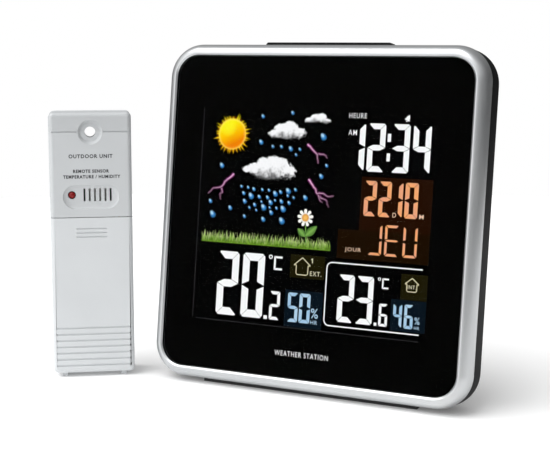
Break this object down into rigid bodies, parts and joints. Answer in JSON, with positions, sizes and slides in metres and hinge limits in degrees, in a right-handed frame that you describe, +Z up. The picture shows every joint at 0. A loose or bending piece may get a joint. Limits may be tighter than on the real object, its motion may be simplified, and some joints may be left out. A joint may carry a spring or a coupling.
{
  "type": "home weather station",
  "caption": "Desk weather station: square leaning colour display with silver rim, snooze bar, rear keys and fold-out leg, with its upright wireless outdoor sensor.",
  "frame": {"origin": "middle of the display's front rubber foot, on the desk", "axes": "+X to the right as the display is read, +Y away from the reader, +Z up"},
  "size_m": [0.2154, 0.0759, 0.1633],
  "materials": {
    "rim_silver": "satin silver paint",
    "lens_clear": "clear gloss acrylic",
    "print_black": "black print",
    "tape_foam": "foam tape",
    "lcd_glass": "negative colour liquid crystal",
    "holder_white": "moulded",
    "film_white": "satin film",
    "guide_clear": "polished acrylic",
    "led_yellow": "phosphor",
    "zebra_rubber": "layered elastomer",
    "board_green": "solder mask",
    "chip_black": "epoxy",
    "wire_copper": "enamelled copper",
    "case_black": "fine spark texture",
    "switch_grey": "moulded",
    "button_black": "satin",
    "cell_can": "printed sleeve",
    "plated_steel": "nickel plate",
    "foot_rubber": "soft",
    "sensor_white": "fine satin",
    "led_red": "clear red"
  },
  "bodies": {
    "display": {"bezel": "rim_silver", "front_lens": "lens_clear", "lens_mask": "print_black", "lens_tape": "tape_foam", "lcd_panel": "lcd_glass", "lcd_holder": "holder_white", "diffuser_film": "film_white", "light_guide": "guide_clear", "reflector_film": "film_white", "backlight_leds": "led_yellow", "zebra_strip": "zebra_rubber", "main_board": "board_green", "controller_chip": "chip_black", "receiver_module": "board_green", "receiver_antenna": "wire_copper", "room_sensor": "holder_white", "buzzer": "chip_black", "dc_jack": "chip_black", "rear_case": "case_black", "snooze_switches": "switch_grey", "button_boards": "board_green", "button_switches": "switch_grey", "battery_cells": "cell_can", "battery_springs": "plated_steel", "battery_contacts": "plated_steel", "desk_feet": "foot_rubber", "case_screws": "plated_steel", "board_screws": "plated_steel"},
    "sensor": {"sensor_front": "sensor_white", "sensor_back": "sensor_white", "sensor_seal": "foot_rubber", "sensor_tray": "sensor_white", "sensor_board": "board_green", "sensor_cells": "cell_can", "sensor_springs": "plated_steel", "sensor_contacts": "plated_steel", "sensor_led": "led_red", "sensor_probe": "holder_white", "sensor_antenna": "wire_copper", "sensor_screws": "plated_steel"},
    "snooze": {"snooze_bar": "case_black"},
    "set_key": {"set_button": "button_black"},
    "alarm_key": {"alarm_button": "button_black"},
    "light_key": {"light_button": "button_black"},
    "up_key": {"up_button": "button_black"},
    "down_key": {"down_button": "button_black"},
    "channel_key": {"channel_button": "button_black"},
    "door": {"battery_door": "case_black"},
    "leg": {"stand_leg": "case_black", "leg_pin": "plated_steel", "leg_pad": "foot_rubber"},
    "sensor_cover": {"sensor_cover": "sensor_white"},
    "sensor_reset": {"reset_button": "switch_grey"}
  },
  "joints": [
    {"name": "snooze_press", "type": "slide", "parent": "display", "child": "snooze", "axis": [0, -0.134, -0.991], "range_m": [0, 0.0012], "stiffness_N_per_m": 1200},
    {"name": "set_key_press", "type": "slide", "parent": "display", "child": "set_key", "axis": [0, -0.991, 0.134], "range_m": [0, 0.0005], "stiffness_N_per_m": 1500},
    {"name": "alarm_key_press", "type": "slide", "parent": "display", "child": "alarm_key", "axis": [0, -0.991, 0.134], "range_m": [0, 0.0005], "stiffness_N_per_m": 1500},
    {"name": "light_key_press", "type": "slide", "parent": "display", "child": "light_key", "axis": [0, -0.991, 0.134], "range_m": [0, 0.0005], "stiffness_N_per_m": 1500},
    {"name": "up_key_press", "type": "slide", "parent": "display", "child": "up_key", "axis": [0, -0.991, 0.134], "range_m": [0, 0.0005], "stiffness_N_per_m": 1500},
    {"name": "down_key_press", "type": "slide", "parent": "display", "child": "down_key", "axis": [0, -0.991, 0.134], "range_m": [0, 0.0005], "stiffness_N_per_m": 1500},
    {"name": "channel_key_press", "type": "slide", "parent": "display", "child": "channel_key", "axis": [0, -0.991, 0.134], "range_m": [0, 0.0005], "stiffness_N_per_m": 1500},
    {"name": "door_pull", "type": "slide", "parent": "display", "child": "door", "axis": [0, 0.991, -0.134], "range_m": [0, 0.03]},
    {"name": "leg_fold", "type": "hinge", "parent": "display", "child": "leg", "pos_m": [0, 0.02326, 0.08284], "axis": [-1, 0, 0], "range_deg": [0, 24]},
    {"name": "sensor_lift", "type": "slide", "parent": "display", "child": "sensor", "axis": [0, 0, 1], "range_m": [0, 0.05]},
    {"name": "sensor_cover_pull", "type": "slide", "parent": "sensor", "child": "sensor_cover", "axis": [0.5736, -0.8192, 0], "range_m": [0, 0.03]},
    {"name": "sensor_reset_press", "type": "slide", "parent": "sensor", "child": "sensor_reset", "axis": [-0.5736, 0.8192, 0], "range_m": [0, 0.0004], "stiffness_N_per_m": 1500}
  ]
}
